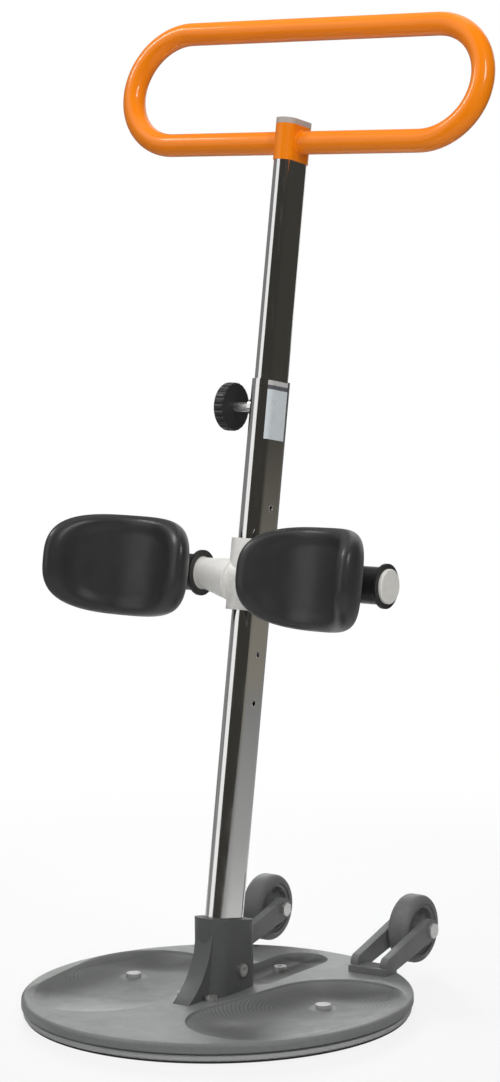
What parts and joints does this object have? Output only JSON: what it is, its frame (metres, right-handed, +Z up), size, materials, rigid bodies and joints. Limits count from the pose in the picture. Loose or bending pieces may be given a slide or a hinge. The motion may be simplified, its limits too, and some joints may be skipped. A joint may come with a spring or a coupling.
{
  "type": "patient turner",
  "caption": "Standing transfer aid: a turning foot disc carries a leaning telescopic mast with a loop handle, dished leg pads and tip-back transport wheels.",
  "frame": {"origin": "on the floor under the middle of the foot disc, on the mat's underside", "axes": "+Z up; +Y towards the transport wheels; the person stands on the -Y side facing +Y, with +X on the right"},
  "size_m": [0.452, 0.466, 1.0077],
  "materials": {
    "grey_moulding": "satin, grey moulded, fine grain",
    "floor_plate_grey": "matt, grey moulded",
    "mat_rubber": "matt, ribbed underside",
    "bearing_steel": "ground",
    "chrome_tube": "polished",
    "bright_fastener": "bright zinc",
    "orange_paint": "satin powder coat",
    "white_moulding": "satin, off-white moulded",
    "black_moulding": "satin, black moulded",
    "pad_skin": "satin, smooth coated skin over foam",
    "grey_tyre": "matt, grey non-marking",
    "plain_bush": "matt, natural bearing plastic",
    "brass_shoe": "turned",
    "grey_cap": "satin, light grey moulded"
  },
  "bodies": {
    "floor_plate": {"floor_mat": "mat_rubber", "floor_plate": "floor_plate_grey", "lower_race": "bearing_steel", "pivot_spindle": "bearing_steel", "pivot_washer": "bright_fastener", "pivot_screw": "bright_fastener"},
    "ball_ring": {"ball_cage": "plain_bush", "bearing_balls": "bearing_steel"},
    "turntable": {"foot_disc": "grey_moulding", "upper_race": "bearing_steel", "pivot_bush": "plain_bush", "foot_studs": "bright_fastener", "base_screws": "bright_fastener", "mast_socket": "grey_moulding", "socket_bolt": "bright_fastener", "outer_tube": "chrome_tube", "guide_bush": "plain_bush", "clamp_boss": "chrome_tube", "index_bushes": "bright_fastener", "left_fork": "grey_moulding", "right_fork": "grey_moulding", "fork_screws": "bright_fastener", "left_axle": "bright_fastener", "right_axle": "bright_fastener"},
    "handle": {"inner_tube": "chrome_tube", "lower_glide": "plain_bush", "handle_collar": "orange_paint", "handle_loop": "orange_paint", "mast_cap": "grey_cap"},
    "clamp_shoe": {"clamp_shoe": "brass_shoe"},
    "clamp_knob": {"clamp_screw": "bright_fastener", "clamp_knob": "black_moulding"},
    "leg_carriage": {"carriage": "white_moulding", "plunger_housing": "bright_fastener", "crossbar_caps": "grey_cap", "arm_sleeves": "plain_bush", "plunger_spring": "bearing_steel"},
    "index_plunger": {"plunger_pin": "bearing_steel", "plunger_knob": "black_moulding"},
    "left_support": {"left_hub": "black_moulding", "left_pad": "pad_skin"},
    "right_support": {"right_hub": "black_moulding", "right_pad": "pad_skin"},
    "left_wheel": {"left_tyre": "grey_tyre", "left_wheel_hub": "grey_moulding", "left_wheel_bush": "plain_bush"},
    "right_wheel": {"right_tyre": "grey_tyre", "right_wheel_hub": "grey_moulding", "right_wheel_bush": "plain_bush"}
  },
  "joints": [
    {"name": "disc_turn", "type": "hinge", "parent": "floor_plate", "child": "turntable", "pos_m": [0, 0, 0.00875], "axis": [0, 0, 1], "continuous": true},
    {"name": "ball_run", "type": "hinge", "parent": "floor_plate", "child": "ball_ring", "pos_m": [0, 0, 0.00875], "axis": [0, 0, 1], "continuous": true},
    {"name": "handle_height", "type": "slide", "parent": "turntable", "child": "handle", "axis": [0, 0.1736, 0.9848], "range_m": [-0.19, 0.19]},
    {"name": "clamp_travel", "type": "slide", "parent": "turntable", "child": "clamp_shoe", "axis": [-1, 0, 0], "range_m": [0, 0.0015]},
    {"name": "clamp_turn", "type": "hinge", "parent": "clamp_shoe", "child": "clamp_knob", "pos_m": [0, 0.10401, 0.60861], "axis": [-1, 0, 0], "range_deg": [0, 360]},
    {"name": "pad_height", "type": "slide", "parent": "turntable", "child": "leg_carriage", "axis": [0, 0.1736, 0.9848], "range_m": [-0.15, 0.05]},
    {"name": "index_pull", "type": "slide", "parent": "leg_carriage", "child": "index_plunger", "axis": [1, 0, 0], "range_m": [-0.003, 0], "stiffness_N_per_m": 1500, "springref_m": -0.004, "deforming": ["plunger_spring"]},
    {"name": "left_pad_tilt", "type": "hinge", "parent": "leg_carriage", "child": "left_support", "pos_m": [0, 0.05706, 0.44021], "axis": [1, 0, 0], "range_deg": [-30, 30]},
    {"name": "right_pad_tilt", "type": "hinge", "parent": "leg_carriage", "child": "right_support", "pos_m": [0, 0.05706, 0.44021], "axis": [1, 0, 0], "range_deg": [-30, 30]},
    {"name": "left_wheel_spin", "type": "hinge", "parent": "turntable", "child": "left_wheel", "pos_m": [-0.0935, 0.23, 0.05], "axis": [1, 0, 0], "continuous": true},
    {"name": "right_wheel_spin", "type": "hinge", "parent": "turntable", "child": "right_wheel", "pos_m": [0.0935, 0.23, 0.05], "axis": [1, 0, 0], "continuous": true}
  ],
  "couplings": [
    {"joint": "ball_run", "follows": "disc_turn", "ratio": 0.5},
    {"joint": "clamp_turn", "follows": "clamp_travel", "rad_per_m": 4188}
  ]
}
